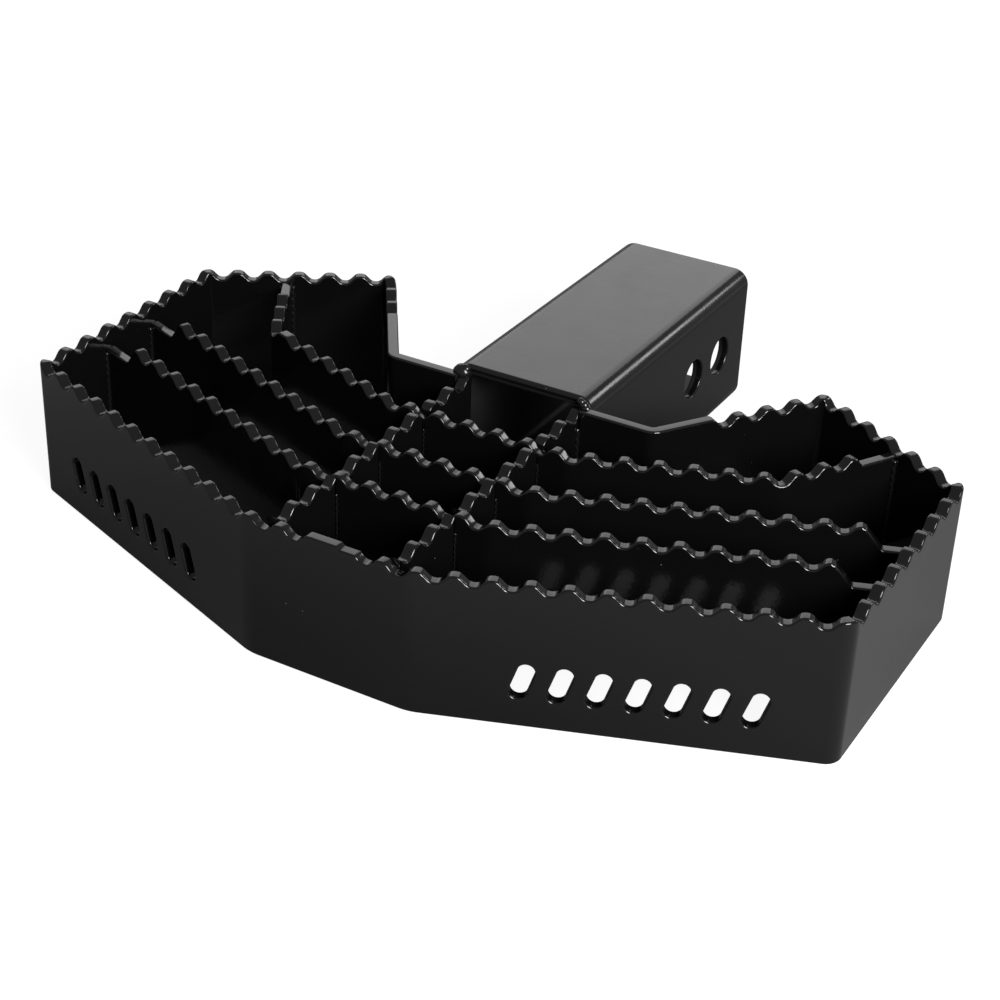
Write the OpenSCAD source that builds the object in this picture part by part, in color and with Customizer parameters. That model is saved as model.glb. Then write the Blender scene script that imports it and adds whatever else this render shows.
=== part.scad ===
// Hitch receiver step: a square shank with a crescent tread of serrated steel plate set on edge.
// Millimetres, +Z up, +Y along the shank towards the vehicle, X across.
// The origin is the middle of the rear pin hole, on the shank's own axis.

/* [Shank] */
// outside width and height of the square tube
shank_w = 63.5; // [60:0.1:70]
// wall of the square tube
shank_wall = 4.76; // [4:0.01:6.35]
// outside corner radius of the tube
shank_corner_r = 7.1; // [5:0.1:9.5]
// tube length from the tread's back plate to the vehicle end
shank_len = 151; // [130:1:220]
// pin hole diameter
pin_d = 17.5; // [16.5:0.1:19]
// distance of the rear pin hole from the vehicle end
pin_from_end = 26; // [20:0.5:40]
// distance between the two pin holes
pin_spacing = 27.2; // [24:0.1:40]

/* [Tread plate] */
// thickness of the plates
plate_t = 4.76; // [4:0.01:6.35]
// height of the outer band at its tooth tips
band_h = 59; // [54:0.5:62]
// height of the inner ribs and spines, measured down from their tooth tips
rib_depth = 44.45; // [40:0.05:48]
// inside bend radius of the tight corners
bend_r = 2; // [1.5:0.5:5]
// inside bend radius of the shallow folds beside the centre
fold_r = 18; // [10:1:24]
// inside bend radius of the ribs
rib_bend_r = 10; // [6:1:14]

/* [Outline] */
// tooth pitch along the band
pitch = 13.6; // [13:0.1:14.2]
// tooth pitch along the front of the right strip
right_pitch = 13.3; // [13.2:0.1:13.6]
// first dip of the right strip from the seam
right_first = 16; // [15:0.1:17]
// fold of the front plate past the outer face of a spine
fold_gap = 6.01; // [5:0.01:7]
// teeth along each front wing
wing_teeth = 11; // [10:1:12]
// teeth along each end plate
end_teeth = 8; // [8:1:9]
// teeth along each back wing
back_teeth = 6; // [6:1:6]
// sweep of the front wings
wing_angle = 20.5; // [18:0.5:22]
// sweep of the back wings
back_angle = 30; // [28:0.5:32]
// length of the return leg that runs forward to the shank
tail_len = 80; // [76:0.5:84]
// angle of the return leg from the back of the shank mouth
tail_angle = 56.7; // [54:0.1:60]
// teeth on the return leg, before its plain edge
tail_teeth = 3; // [2:1:4]

/* [Inner plates] */
// tooth pitch along the ribs
rib_pitch = 13.25; // [13:0.05:13.5]
// fold of the ribs from the middle
rib_fold_x = 40.2; // [38:0.1:42]
// shift of the teeth of the front two ribs to the right
rib_shift = 3; // [0:0.1:4]
// shift of the teeth of the rear rib to the right
rear_shift = 1.8; // [0:0.1:3]
// middle of the front rib behind the face of the band
rib_front_y = 44.1; // [42:0.1:46]
// middle of the second rib
rib_middle_y = 73.5; // [72:0.1:76]
// middle of the rear rib
rib_rear_y = 105.1; // [103:0.1:106]
// length of each wing of the rear rib
rear_wing = 80.4; // [79:0.1:82]
// direction of the rear rib's outer legs
leg_angle = 60; // [58:1:62]
// tooth pitch along the spines
spine_pitch = 13.5; // [13.2:0.1:13.8]
// first tooth of a spine behind the face of the band
spine_first = 17.1; // [16:0.1:18]

/* [Teeth] */
// depth of the wave below its tips
tooth_d = 3.5; // [3:0.1:4]
// half width of the wave's floor, before its rounding
floor_half = 1.5; // [1.4:0.1:2.2]
// rounding of the tips and floors
tooth_r = 3.2; // [2:0.1:3.3]
// drop of the plain tabs at the ends of the front two ribs
tab_drop = 8.6; // [8:0.1:10]
// drop of the plain tabs at the ends of the rear rib
rear_drop = 4; // [3.6:0.1:6]
// rise of the plain edge beside the shank above the tooth tips
land_rise = 0.8; // [0:0.1:1.5]
// depth ground off the right end of the plain land at the front
land_ground = 1.2; // [0.5:0.1:1.5]

/* [Cut-outs] */
// plain slanted slots in each front wing
slot_count = 7; // [4:1:7]
// width of a slot
slot_w = 6.4; // [4:0.2:8]
// height of a slot
slot_h = 15; // [10:0.5:20]
// slant of a slot
slot_slant = 18; // [0:1:25]
// middle of the slots above the bottom edge
slot_z = 19; // [16:0.5:24]

/* [Welds] */
// root gap of the front seam
seam_gap = 1.6; // [1:0.1:2.5]
// leg of the fillets inside the tread
fillet_leg = 3.2; // [2:0.1:4]
// leg of the fillets at the shank
shank_leg = 4; // [3:0.1:5]

/* [Hidden] */
$fn = 48;
// one leg's cuts at a corner go this much deeper, so that the rounds of both legs never meet in one point
corner_slip = 0.08;
// play of a plate in its cross-halving slot, each side
slot_play = 0.1;
// half of the plate
ht = plate_t / 2;
// spine centre line: its outer face stands 1 mm over the tube's wall
spine_x = shank_w / 2 - shank_wall + 1 - ht;
// corners of the band's middle line
p0 = [spine_x + ht + fold_gap, ht];
p1 = p0 + wing_teeth * pitch * [cos(wing_angle), sin(wing_angle)];
p2 = p1 + end_teeth * pitch * [0, 1];
p3 = p2 + back_teeth * pitch * [-cos(back_angle), sin(back_angle)];
p4 = p3 - tail_len * [cos(tail_angle), sin(tail_angle)];
p5 = [spine_x + ht, p4.y];
// plane of the shank's mouth, on the back faces of the band
mouth_y = p4.y + ht;
end_y = mouth_y + shank_len;
pin_y = end_y - pin_from_end;
// underside and half-lap level of the inner plates
rib_z = band_h - rib_depth;
lap_z = band_h - rib_depth / 2;
// inner face of an end plate
end_face_x = p1.x - ht;
// outer fold of the rear rib
rear_fold = [rib_fold_x, rib_rear_y] + rear_wing * [cos(wing_angle), sin(wing_angle)];
// length of a straight rib wing to the end plate
wing_run = (end_face_x - rib_fold_x) / cos(wing_angle);
// teeth of a rib on each side of its middle one
rib_teeth = floor((rib_fold_x + wing_run - 18) / rib_pitch);
rear_teeth = floor((rib_fold_x + rear_wing - 8) / rib_pitch);
// length of the rear rib's leg to the back wing's inner face, and its teeth
back_n = [sin(back_angle), cos(back_angle)];
leg_dir = [cos(leg_angle), sin(leg_angle)];
leg_run = ((p2 - rear_fold) * back_n - ht) / (leg_dir * back_n);
leg_teeth = floor((leg_run - 9) / rib_pitch);
// length that takes a cutter past the whole step
reach = p3.y + shank_w;
// radius of the bead over the shank's top corner
bead_r = 0.6 * shank_leg;
// end flank of the last rib tooth
tab_flank = 50.5;
// half length of one dip along the plate
dip_reach = floor_half + tooth_d + tooth_r * tan(22.5);

// Everything is laid out from the band's front face and floor, and moved to the pin here.
module at_pin() {
  translate([0, -pin_y, -shank_w / 2]) children();
}

// Left-hand copy of a right-hand piece.
module left_hand() {
  mirror([1, 0, 0]) children();
}

function unit(v) = v / norm(v);
function tangent(r, turn) = (r + ht) * tan(abs(turn) / 2);

// Points of one bend at corner c, from heading h0 to h1 with inside radius r, on the line off to the left.
function bend_line(c, h0, h1, r, off) =
  let (turn = h1 - h0)
  let (side = sign(turn) * 90)
  let (rn = r + ht)
  let (middle = c - tangent(r, turn) * [cos(h0), sin(h0)] + rn * [cos(h0 + side), sin(h0 + side)])
  let (n = 2 * round(abs(turn) / 20) + 1)
  [for (i = [0:n])
    let (h = h0 + turn * i / n)
    middle + rn * [cos(h - side), sin(h - side)] + off * [cos(h + 90), sin(h + 90)]];

// One face of a folded strip: start point, bends [corner, heading in, heading out, radius], end point.
function face_line(start, bends, end, off) =
  let (ha = bends[0][1])
  let (hb = bends[len(bends) - 1][2])
  concat(
    [start + off * [cos(ha + 90), sin(ha + 90)]],
    [for (b = bends) each bend_line(b[0], b[1], b[2], b[3], off)],
    [end + off * [cos(hb + 90), sin(hb + 90)]]
  );
function backwards(v) = [for (i = [len(v) - 1:-1:0]) v[i]];

// Plan of a folded strip of plate along its middle line.
module strip(start, bends, end) {
  polygon(concat(face_line(start, bends, end, -ht), backwards(face_line(start, bends, end, ht))));
}

// Half of one dip of the wave, from its floor up to a tip at height top.
function half_dip(top) =
  let (rise = top - band_h + tooth_d)
  let (run = tooth_r * tan(22.5))
  let (edge = floor_half + rise)
  concat(
    [for (i = [0:2]) [floor_half - run + tooth_r * sin(22.5 * i), band_h - tooth_d + tooth_r * (1 - cos(22.5 * i))]],
    [for (i = [2:-1:1]) [edge + run - tooth_r * sin(22.5 * i), top - tooth_r * (1 - cos(22.5 * i))]],
    [[edge + run + 0.8, top + 0.8 * tan(11.25)], [edge + run + 0.8, band_h + 3]]
  );
function flip(pts) = [for (i = [len(pts) - 1:-1:0]) [-pts[i].x, pts[i].y]];

// Cutter for one dip, standing across the plate at p, with the plate running along heading a.
module dip(p, a, top_ahead = band_h, top_behind = band_h, sink = 0) {
  translate([p.x, p.y, -sink])
    rotate([0, 0, a])
      rotate([90, 0, 0])
        linear_extrude(height = plate_t + 2.4, center = true)
          polygon(concat(flip(half_dip(top_behind)), half_dip(top_ahead)));
}

// Dips between tips along a run from p at heading a: n of them, the first at offset start.
module dips(p, a, n, step, start, sink = 0) {
  for (i = [0:1:n - 1])
    dip(p + (start + i * step) * [cos(a), sin(a)], a, sink = sink);
}

// Dip at place s of a strip with a wing on each side of its middle, measured from the middle.
module swept_dip(s, fold_x, y) {
  d = abs(s) - fold_x;
  turn = d < -dip_reach ? 0 : (d > dip_reach ? wing_angle : wing_angle / 2);
  p = [min(abs(s), fold_x), y] + max(d, 0) * [cos(wing_angle), sin(wing_angle)];
  mirror([s < 0 ? 1 : 0, 0, 0]) dip(p, turn);
}

// One slanted slot through a wing, at distance s from the fold.
module wing_slot(s) {
  translate([p0.x, p0.y, 0])
    rotate([0, 0, wing_angle])
      translate([s, 0, slot_z])
        rotate([90, 0, 0])
          linear_extrude(height = plate_t + 2, center = true)
            rotate(-slot_slant) {
              square([slot_w, slot_h - slot_w], center = true);
              translate([0, (slot_h - slot_w) / 2]) circle(d = slot_w, $fn = 24);
              translate([0, (slot_w - slot_h) / 2]) circle(d = slot_w, $fn = 24);
            }
}

// Right half of the outer band, one strip folded five times. Its front has dips from place first on.
module band_half(first, step) {
  h1 = wing_angle;
  h3 = 180 - back_angle;
  h4 = 180 + tail_angle;
  last_dip = (tail_teeth - 0.5) * pitch;
  last_p = p3 + last_dip * unit(p4 - p3);
  difference() {
    linear_extrude(height = band_h + land_rise)
      strip([seam_gap / 2, ht], [
        [p0, 0, h1, fold_r],
        [p1, h1, 90, bend_r],
        [p2, 90, h3, bend_r],
        [p3, h3, h4, bend_r],
        [p4, h4, 180, bend_r]
      ], p5);
    // all but the return leg and its plain edge comes down to the tooth tips
    difference() {
      translate([-1, -1, band_h]) cube([p1.x + 2 * pitch, p3.y + 2 * pitch, pitch]);
      linear_extrude(height = 2 * band_h)
        polygon([[0, p4.y - pitch], [p4.x + pitch, p4.y - pitch], last_p + [6, -4], last_p - [6, -4], [0, p4.y + 2 * pitch]]);
    }
    for (s = [first:step:p0.x + wing_teeth * pitch])
      swept_dip(s, p0.x, ht);
    dips(p1, 90, end_teeth, pitch, pitch / 2, corner_slip);
    dips(p2, h3, back_teeth, pitch, pitch / 2);
    dips(p3, h4, tail_teeth - 1, pitch, pitch / 2, corner_slip);
    dip(last_p, h4, band_h + land_rise, band_h);
    for (i = [0:slot_count - 1])
      wing_slot((3 + i) * pitch - 0.6);
  }
}

module band_left() {
  color([0.03, 0.03, 0.032]) at_pin() left_hand() band_half(pitch, pitch);
}

// The right strip's land is ground a little lower beside the seam.
module band_right() {
  color([0.03, 0.03, 0.032]) at_pin() difference() {
    band_half(right_first, right_pitch);
    translate([5, -1, band_h - land_ground])
      cube([right_first - 5, plate_t + 2, 5]);
  }
}

// Square tube, open at both ends, with two pin holes through both side walls.
module tube_section() {
  inner_r = max(shank_corner_r - shank_wall, 1.2);
  difference() {
    rounded_square(shank_w, shank_corner_r);
    rounded_square(shank_w - 2 * shank_wall, inner_r);
  }
}

module rounded_square(w, r) {
  square([w - 2 * r, w], center = true);
  square([w, w - 2 * r], center = true);
  for (x = [-1, 1], y = [-1, 1])
    translate([x * (w / 2 - r), y * (w / 2 - r)]) circle(r = r);
}

module shank_tube() {
  color([0.045, 0.045, 0.047]) at_pin() difference() {
    translate([0, end_y, shank_w / 2])
      rotate([90, 0, 0])
        linear_extrude(height = shank_len)
          tube_section();
    for (y = [pin_y - pin_spacing, pin_y])
      translate([-shank_w / 2 - 1, y, shank_w / 2])
        rotate([0, 90, 0])
          cylinder(d = pin_d, h = shank_w + 2);
  }
}

// Slots that take the spines, open at the underside of a rib.
module spine_slots() {
  for (x = [-spine_x, spine_x])
    translate([x - ht - slot_play, 0, rib_z - 1])
      cube([plate_t + 2 * slot_play, mouth_y, lap_z - rib_z + 1]);
}

// Cutter that leaves the plain low tab at a rib's end, from distance s along heading a.
module tab_cut(p, a, s, drop) {
  run = drop / tan(tab_flank);
  translate([p.x, p.y, 0])
    rotate([0, 0, a])
      rotate([90, 0, 0])
        linear_extrude(height = plate_t + 2.4, center = true)
          polygon([
            [s - 0.3, band_h + 0.5],
            [s + 1.3, band_h - 0.5],
            [s + 1.3 + run, band_h - drop],
            [s + reach, band_h - drop],
            [s + reach, band_h + 3],
            [s - 0.3, band_h + 3]
          ]);
}

// Right half of the front or second rib: straight middle, one fold, straight wing to the end plate.
module wing_rib_half(y) {
  v = [rib_fold_x, y];
  far = v + (wing_run + 2 * plate_t) * [cos(wing_angle), sin(wing_angle)];
  difference() {
    translate([0, 0, rib_z]) linear_extrude(height = rib_depth)
      strip([-1, y], [[v, 0, wing_angle, rib_bend_r]], far);
    translate([end_face_x, 0, 0]) cube([reach, reach, reach]);
  }
}

// The teeth run on over the folds, a little off the middle.
module wing_rib(y) {
  v = [rib_fold_x, y];
  teeth_end = rib_teeth * rib_pitch - rib_fold_x;
  color([0.028, 0.028, 0.03]) at_pin() difference() {
    union() {
      wing_rib_half(y);
      left_hand() wing_rib_half(y);
    }
    for (k = [-rib_teeth:rib_teeth - 1])
      swept_dip(rib_shift + (k + 0.5) * rib_pitch, rib_fold_x, y);
    tab_cut(v, wing_angle, teeth_end + rib_shift, tab_drop);
    left_hand() tab_cut(v, wing_angle, teeth_end - rib_shift, tab_drop);
    spine_slots();
  }
}

module rib_front() {
  wing_rib(rib_front_y);
}

module rib_middle() {
  wing_rib(rib_middle_y);
}

// Right half of the rear rib: its wing folds a second time and runs out square to the back wing.
module rear_rib_half() {
  v = [rib_fold_x, rib_rear_y];
  w = rear_fold;
  difference() {
    translate([0, 0, rib_z]) linear_extrude(height = rib_depth)
      strip([-1, rib_rear_y], [[v, 0, wing_angle, rib_bend_r], [w, wing_angle, leg_angle, bend_r]], w + (leg_run + 2 * plate_t) * leg_dir);
    translate([p2.x, p2.y, 0])
      rotate([0, 0, 180 - back_angle])
        translate([-reach, -reach + ht, 0])
          cube([2 * reach, reach, reach]);
    dip(w, (wing_angle + leg_angle) / 2);
    dips(w, leg_angle, leg_teeth - 1, rib_pitch, rib_pitch);
    tab_cut(w, leg_angle, (leg_teeth - 0.5) * rib_pitch, rear_drop);
  }
}

module rib_rear() {
  color([0.028, 0.028, 0.03]) at_pin() difference() {
    union() {
      rear_rib_half();
      left_hand() rear_rib_half();
    }
    for (k = [-rear_teeth:rear_teeth])
      swept_dip(rear_shift + k * rib_pitch, rib_fold_x, rib_rear_y);
    spine_slots();
  }
}

// Spine from the band's front plate to the shank's mouth, slotted from above for the ribs.
module spine_right_plain() {
  teeth = floor((mouth_y - spine_first) / spine_pitch);
  difference() {
    translate([spine_x - ht, plate_t, rib_z]) cube([plate_t, mouth_y - plate_t, rib_depth]);
    dips([spine_x, spine_first], 90, teeth + 1, spine_pitch, -spine_pitch / 2);
    for (y = [rib_front_y, rib_middle_y, rib_rear_y])
      translate([spine_x - plate_t, y - ht - slot_play, lap_z])
        cube([2 * plate_t, plate_t + 2 * slot_play, rib_depth]);
  }
}

module spine_right() {
  color([0.03, 0.03, 0.032]) at_pin() spine_right_plain();
}

module spine_left() {
  color([0.03, 0.03, 0.032]) at_pin() left_hand() spine_right_plain();
}

// Fillet bead in the corner at p between two faces that leave it at headings a and b.
module fillet(p, a, b, leg, z0, z1) {
  u = [cos(a), sin(a)];
  v = [cos(b), sin(b)];
  m = unit(u + v) * leg * 0.62;
  translate([0, 0, z0])
    linear_extrude(height = z1 - z0)
      polygon([p, p + leg * u, p + m + 0.22 * leg * (u - v), p + m, p + m - 0.22 * leg * (u - v), p + leg * v]);
}

// Seam that joins the two half bands at the front, dressed flush outside and crowned inside.
module front_seam_weld() {
  color([0.035, 0.035, 0.037]) at_pin() linear_extrude(height = band_h)
    polygon([
      [-seam_gap / 2, 0],
      [seam_gap / 2, 0],
      [seam_gap / 2, plate_t],
      [0.75 * fillet_leg, plate_t],
      [0.45 * fillet_leg, plate_t + 0.25 * fillet_leg],
      [0, plate_t + 0.34 * fillet_leg],
      [-0.45 * fillet_leg, plate_t + 0.25 * fillet_leg],
      [-0.75 * fillet_leg, plate_t],
      [-seam_gap / 2, plate_t]
    ]);
}

// Bead round the shank: up its side in the corner with the band's back face, and over its top corner.
module shank_weld() {
  x = shank_w / 2;
  top = band_h + land_rise;
  bend_z = shank_w - shank_corner_r;
  low_z = min(top, bend_z) - bead_r;
  path_r = shank_corner_r - 0.6 * bead_r;
  fillet([x, mouth_y], 0, 90, shank_leg, 0.3 * shank_leg, top - 0.2 * shank_leg);
  difference() {
    union() {
      translate([x - 0.6 * bead_r, mouth_y - 0.2 * bead_r, low_z])
        cylinder(r = bead_r, h = bend_z - low_z, $fn = 14);
      for (i = [0:5])
        translate([x - shank_corner_r + path_r * cos(15 * i), mouth_y - 0.2 * bead_r, bend_z + path_r * sin(15 * i)])
          sphere(r = bead_r * (1 - 0.02 * i), $fn = 14);
    }
    // the tube, and the ends of the band and the spine
    translate([0, mouth_y + reach, shank_w / 2])
      rotate([90, 0, 0])
        linear_extrude(height = reach)
          rounded_square(shank_w, shank_corner_r);
    translate([spine_x - ht, mouth_y - plate_t, 0])
      cube([shank_w, plate_t, top]);
  }
}

module shank_weld_right() {
  color([0.05, 0.05, 0.052]) at_pin() shank_weld();
}

module shank_weld_left() {
  color([0.05, 0.05, 0.052]) at_pin() left_hand() shank_weld();
}

// Fillets in front of the mouth, in the corner between each spine's outer face and the band's end.
module mouth_welds() {
  color([0.035, 0.035, 0.037]) at_pin() for (m = [0, 1]) mirror([m, 0, 0])
    fillet([spine_x + ht, mouth_y - plate_t], 0, -90, fillet_leg, rib_z + 1, band_h - tooth_d - 3);
}

// Fillets on both sides of each spine's foot at the front plate.
module spine_foot_welds() {
  color([0.035, 0.035, 0.037]) at_pin() for (m = [0, 1]) mirror([m, 0, 0]) {
    fillet([spine_x - ht, plate_t], 180, 90, fillet_leg, rib_z + 1, band_h - tooth_d - 2);
    fillet([spine_x + ht, plate_t], 0, 90, fillet_leg, rib_z + 1, band_h - tooth_d - 2);
  }
}

// Fillets on both sides of every rib end, at the end plates and back wings.
module rib_end_welds() {
  z0 = rib_z + 1;
  z1 = band_h - tab_drop - 1;
  rear_z1 = band_h - rear_drop - 1;
  off = ht / cos(wing_angle);
  color([0.035, 0.035, 0.037]) at_pin() for (m = [0, 1]) mirror([m, 0, 0]) {
    for (y = [rib_front_y, rib_middle_y]) {
      hit = y + wing_run * sin(wing_angle);
      fillet([end_face_x, hit - off], 180 + wing_angle, -90, fillet_leg, z0, z1);
      fillet([end_face_x, hit + off], 180 + wing_angle, 90, fillet_leg, z0, z1);
    }
    foot = rear_fold + leg_run * leg_dir;
    slope = leg_angle - (90 - back_angle);
    along = ht / cos(slope);
    dir_b = [cos(180 - back_angle), sin(180 - back_angle)];
    fillet(foot + along * dir_b, 180 + leg_angle, 180 - back_angle, fillet_leg, z0, rear_z1);
    fillet(foot - along * dir_b, 180 + leg_angle, -back_angle, fillet_leg, z0, rear_z1);
  }
}

// Upright fillets in two corners of each crossing of rib and spine.
module crossing_welds() {
  color([0.035, 0.035, 0.037]) at_pin() for (m = [0, 1]) mirror([m, 0, 0])
    for (y = [rib_front_y, rib_middle_y, rib_rear_y]) {
      fillet([spine_x - ht, y - ht], 180, -90, 2.4, rib_z + 2, band_h - tooth_d - 4);
      fillet([spine_x + ht, y - ht], 0, -90, 2.4, rib_z + 2, band_h - tooth_d - 4);
    }
}

shank_tube();
band_left();
band_right();
spine_left();
spine_right();
rib_front();
rib_middle();
rib_rear();
front_seam_weld();
shank_weld_left();
shank_weld_right();
mouth_welds();
spine_foot_welds();
rib_end_welds();
crossing_welds();
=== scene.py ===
# %% [markdown]
# # A hitch receiver step
# The object is a step for the back of a pickup: a square tube that pins into the receiver, with a wide
# tread of steel plate set on edge. The plates are cut flat with a wave of teeth along the top, folded
# in a press brake, slotted into each other and welded, and the whole is coated in black powder.
# This lesson makes the plates the way the workshop does. A flat sheet is laid out and its holes are
# opened, it gets its thickness and its rounded rims, and only then is it folded.

import math

import bmesh
import bpy
from mathutils import Matrix, Vector


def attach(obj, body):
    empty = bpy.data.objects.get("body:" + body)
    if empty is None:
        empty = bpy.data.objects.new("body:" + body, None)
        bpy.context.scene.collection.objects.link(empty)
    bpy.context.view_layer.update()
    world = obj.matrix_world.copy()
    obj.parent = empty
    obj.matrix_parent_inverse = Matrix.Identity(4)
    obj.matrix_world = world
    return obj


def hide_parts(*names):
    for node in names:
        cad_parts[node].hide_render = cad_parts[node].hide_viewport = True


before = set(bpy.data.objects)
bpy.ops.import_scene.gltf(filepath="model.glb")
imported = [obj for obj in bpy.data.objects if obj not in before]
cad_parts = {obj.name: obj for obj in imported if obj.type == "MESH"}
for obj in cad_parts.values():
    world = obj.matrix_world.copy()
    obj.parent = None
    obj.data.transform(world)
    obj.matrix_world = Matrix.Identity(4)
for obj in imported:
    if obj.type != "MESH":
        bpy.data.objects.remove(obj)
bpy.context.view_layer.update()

# %% [markdown]
# ## Sizes
# The part's source gives every size in millimetres, measured from the front face of the tread and from
# the floor. The same values are used here, and each finished mesh is then scaled to metres and moved
# so that the rear pin hole is the origin. That keeps the numbers readable and the places exact.

# %% Sizes of the plates and of the shank
PLATE = 4.76
HALF = PLATE / 2
SHANK = 63.5
WALL = 4.76
SHANK_CORNER = 7.1
SHANK_LENGTH = 151.0
PIN_HOLE = 17.5
PIN_FROM_END = 26.0
PIN_SPACING = 27.2
BAND_HEIGHT = 59.0
RIB_DEPTH = 44.45
RIB_FLOOR = BAND_HEIGHT - RIB_DEPTH
LAP = BAND_HEIGHT - RIB_DEPTH / 2
TOOTH = 3.5
TOOTH_FLOOR = 1.5
TOOTH_ROUND = 3.2
SHOULDER_GAP = 2.0
SHOULDER = BAND_HEIGHT - TOOTH - SHOULDER_GAP
RIM_ROUND = 0.9
MOUTH_ROUND = 1.8
PIN_RIM_ROUND = 0.7

# %% The outline of the tread, seen from above
BAND_PITCH = 13.6
RIGHT_PITCH = 13.3
RIGHT_FIRST = 16.0
RIB_PITCH = 13.25
RIB_SHIFT = 3.0
REAR_SHIFT = 1.8
SPINE_PITCH = 13.5
SPINE_TIP = 17.1
SPINE_BITE = 1
FOLD_GAP = 6.01
WING_TEETH = 11
END_TEETH = 8
BACK_TEETH = 6
TAIL_RUN = 80.0
RIB_Y = (44.1, 73.5, 105.1)
RIB_FOLD_X = 40.2
FRONT_BEND, RIB_BEND, TIGHT_BEND = 18, 10, 2
WING = math.radians(20.5)
BACK = math.radians(30.0)
TAIL = math.radians(56.7)


def ahead(point, heading, distance):
    """The point that lies a distance ahead of another, along a heading in radians."""
    return Vector((point[0] + distance * math.cos(heading), point[1] + distance * math.sin(heading)))


SPINE_X = SHANK / 2 - WALL + SPINE_BITE - HALF
fold_centre = Vector((SPINE_X + HALF + FOLD_GAP, HALF))
corner_front = ahead(fold_centre, WING, WING_TEETH * BAND_PITCH)
corner_back = ahead(corner_front, math.pi / 2, END_TEETH * BAND_PITCH)
corner_tail = ahead(corner_back, math.pi - BACK, BACK_TEETH * BAND_PITCH)
corner_mouth = ahead(corner_tail, math.pi + TAIL, TAIL_RUN)
MOUTH_Y = corner_mouth.y + HALF
END_Y = MOUTH_Y + SHANK_LENGTH
PIN_Y = END_Y - PIN_FROM_END
TO_PART = Matrix.Scale(0.001, 4) @ Matrix.Translation((0, -PIN_Y, -SHANK / 2))
print("shank mouth at", round(MOUTH_Y, 2), "mm, rear pin hole at", round(PIN_Y, 2), "mm")

# %% [markdown]
# ## The black powder coat
# Powder coat is a baked plastic film. It is very dark, glossy but not like glass, and it has a faint
# orange-peel skin. A few pale specks sit in it, where dust settled before it was baked.
# A single shader with a slightly uneven roughness and a fine bump gives this, and it reads the
# object's own coordinates, so that the pattern stays on the plate from every side.
# Charged powder hardly reaches the inside of a tube, so the coat there is thin and dull. The shank's
# coat is rougher wherever it lies nearer to the tube's axis than the outer skin does.


# %% Two small helpers for materials
def calculated(tree, operation, a, b):
    """The result of a Math node for two values, each a number or the output of another node."""
    node = tree.nodes.new("ShaderNodeMath")
    node.operation = operation
    for socket, value in zip(node.inputs, (a, b)):
        if isinstance(value, bpy.types.NodeSocket):
            tree.links.new(value, socket)
        else:
            socket.default_value = value
    return node.outputs[0]


def spread(tree, value, low, high, to_low, to_high, interpolation="LINEAR"):
    """The value moved from the range between low and high to another range."""
    remap = tree.nodes.new("ShaderNodeMapRange")
    remap.interpolation_type = interpolation
    for socket, number in zip(("From Min", "From Max", "To Min", "To Max"), (low, high, to_low, to_high)):
        remap.inputs[socket].default_value = number
    tree.links.new(value, remap.inputs["Value"])
    return remap.outputs["Result"]


# %% A function that mixes the coat
THIN_COAT = 0.45
SPECK_COLOUR = (0.75, 0.75, 0.75, 1.0)


def powder_coat(name, colour, roughness, speck=0.2, thin_within=None):
    """Black coat: an even dark colour with pale specks, an uneven gloss and an orange-peel skin."""
    coat = bpy.data.materials.new(name)
    coat.use_nodes = True
    tree = coat.node_tree
    nodes, links = tree.nodes, tree.links
    shader = nodes["Principled BSDF"]
    place = nodes.new("ShaderNodeTexCoord").outputs["Object"]

    def noise(scale, detail):
        texture = nodes.new("ShaderNodeTexNoise")
        texture.inputs["Scale"].default_value = scale
        texture.inputs["Detail"].default_value = detail
        links.new(place, texture.inputs["Vector"])
        return texture.outputs["Fac"]

    def from_axis():
        size = nodes.new("ShaderNodeVectorMath")
        size.operation = "ABSOLUTE"
        links.new(place, size.inputs[0])
        parts = nodes.new("ShaderNodeSeparateXYZ")
        links.new(size.outputs[0], parts.inputs[0])
        return calculated(tree, "MAXIMUM", parts.outputs["X"], parts.outputs["Z"])

    dust = nodes.new("ShaderNodeTexVoronoi")
    dust.inputs["Scale"].default_value = 95.0
    links.new(place, dust.inputs["Vector"])
    near = spread(tree, dust.outputs["Distance"], 0.028, 0.016, 0.0, 1.0)
    rare = spread(tree, noise(31.0, 1.0), 0.52, 0.62, 0.0, speck)
    mix = nodes.new("ShaderNodeMix")
    mix.data_type = "RGBA"
    mix.inputs["A"].default_value = (*colour, 1.0)
    mix.inputs["B"].default_value = SPECK_COLOUR
    links.new(calculated(tree, "MULTIPLY", near, rare), mix.inputs["Factor"])
    links.new(mix.outputs["Result"], shader.inputs["Base Color"])
    gloss = spread(tree, noise(60.0, 3.0), 0.3, 0.7, roughness - 0.03, roughness + 0.05)
    if thin_within:
        duller = spread(tree, from_axis(), thin_within - 0.0005, thin_within, THIN_COAT, 0.0)
        gloss = calculated(tree, "ADD", gloss, duller)
    links.new(gloss, shader.inputs["Roughness"])
    skin = nodes.new("ShaderNodeBump")
    skin.inputs["Strength"].default_value = 0.06
    skin.inputs["Distance"].default_value = 0.0006
    links.new(noise(520.0, 2.0), skin.inputs["Height"])
    links.new(skin.outputs["Normal"], shader.inputs["Normal"])
    return coat


# %% The three coats of the part
INSIDE = (SHANK / 2 - 2.4) / 1000
COATS = {
    "tread_coat": powder_coat("tread_powder_coat", (0.0035, 0.0035, 0.0037), 0.11),
    "shank_coat": powder_coat("shank_powder_coat", (0.004, 0.004, 0.0042), 0.18, thin_within=INSIDE),
    "weld_coat": powder_coat("weld_powder_coat", (0.006, 0.006, 0.0063), 0.18, speck=0.5),
}
print("coats:", ", ".join(COATS))

# %% [markdown]
# ## The wave of teeth
# Every plate has the same wave: rounded tips, flanks at 45 degrees and rounded floors. It is one
# function of the distance from the middle of a dip, so the band, the ribs and the spines share it.


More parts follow.
